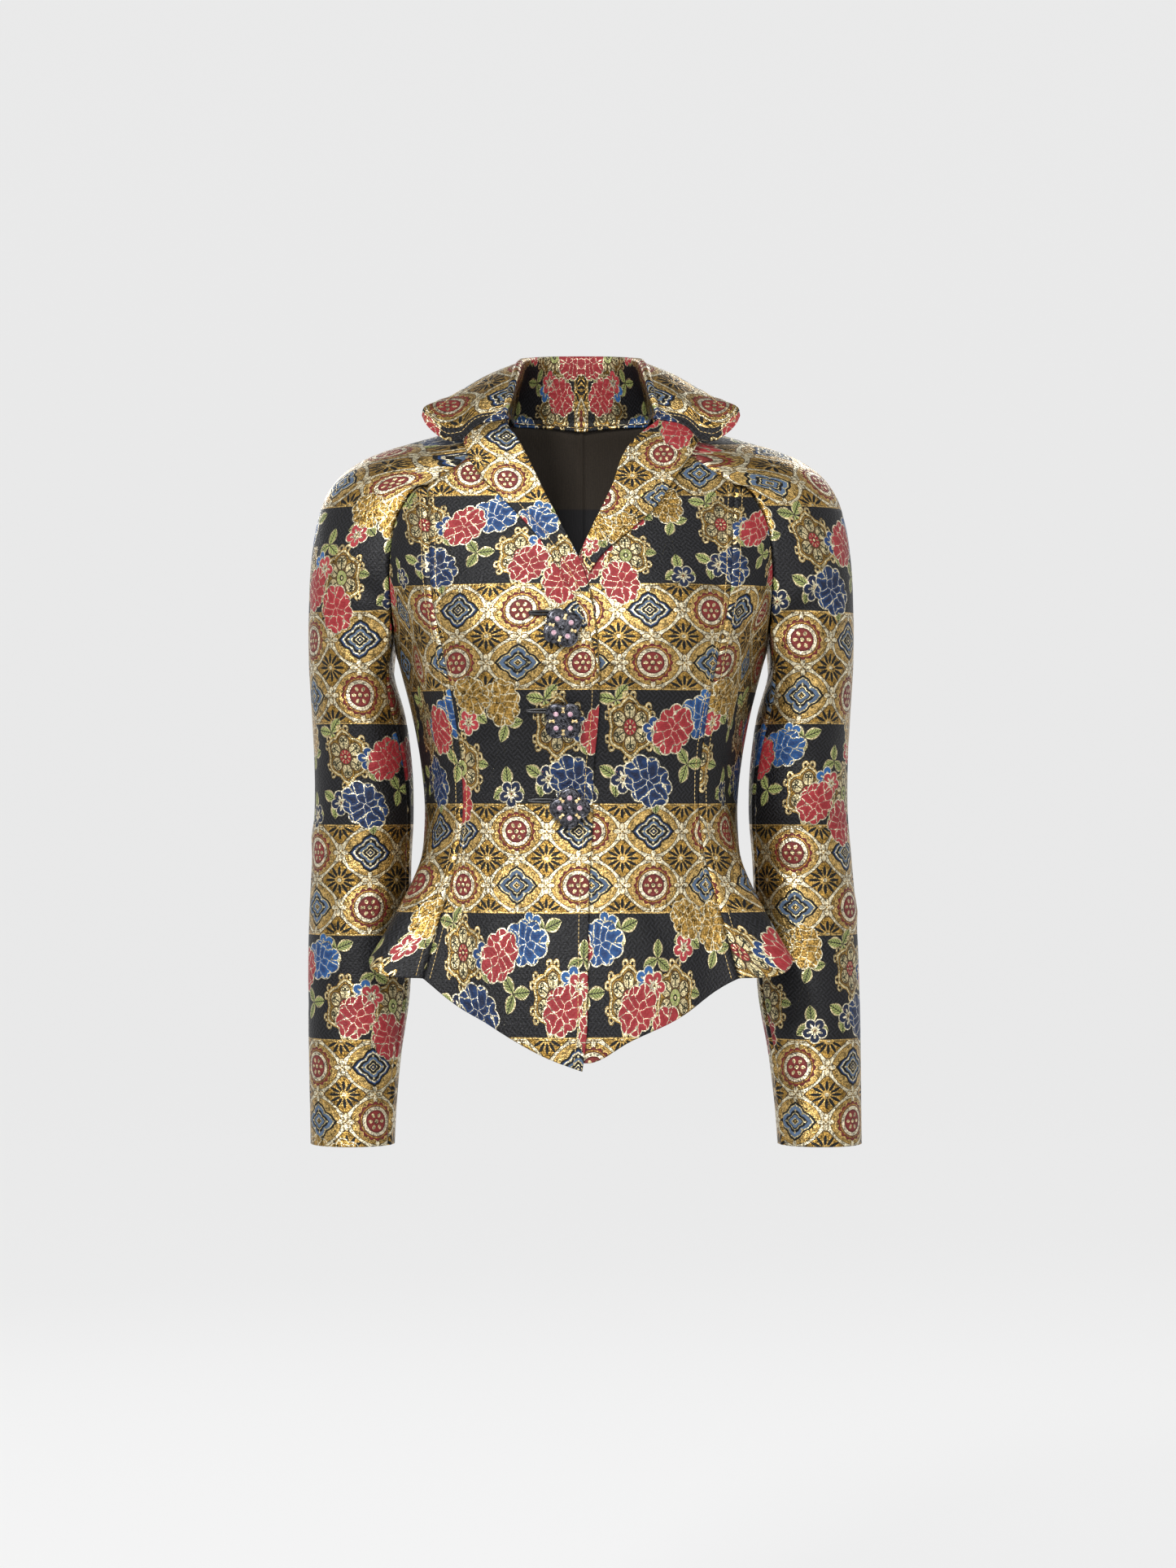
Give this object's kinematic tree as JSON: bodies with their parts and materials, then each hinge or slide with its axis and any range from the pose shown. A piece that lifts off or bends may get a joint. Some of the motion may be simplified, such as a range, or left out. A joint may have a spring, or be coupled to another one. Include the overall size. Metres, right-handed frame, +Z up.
{
  "type": "evening jacket",
  "caption": "Fitted hip-length evening jacket in banded floral brocade, worn form, with notched turn-down collar, flared pointed hem and jewelled shank buttons.",
  "frame": {"origin": "middle of the neck, level with the neck ends of the shoulders, where a wearer's neck and shoulders carry the jacket", "axes": "+Z up, -Y to the front that buttons, +X to the wearer's left"},
  "size_m": [0.4903, 0.2778, 0.7021],
  "materials": {
    "brocade": "satin metallic brocade, banded in gold and black",
    "binding": "black satin",
    "button_metal": "dark gunmetal filigree with iridescent stones",
    "stones": "faceted rhinestones with a pink and white shimmer",
    "thread": "gold topstitching thread"
  },
  "bodies": {
    "root": {"front_left": "brocade", "front_right": "brocade", "side_front_left": "brocade", "side_front_right": "brocade", "side_back_left": "brocade", "side_back_right": "brocade", "back_left": "brocade", "back_right": "brocade", "sleeve_top_left": "brocade", "sleeve_top_right": "brocade", "sleeve_under_left": "brocade", "sleeve_under_right": "brocade", "lapel_left": "brocade", "lapel_right": "brocade", "collar": "brocade", "button_1": "button_metal", "button_2": "button_metal", "button_3": "button_metal", "buttonhole_1": "binding", "buttonhole_2": "binding", "buttonhole_3": "binding"}
  },
  "joints": []
}
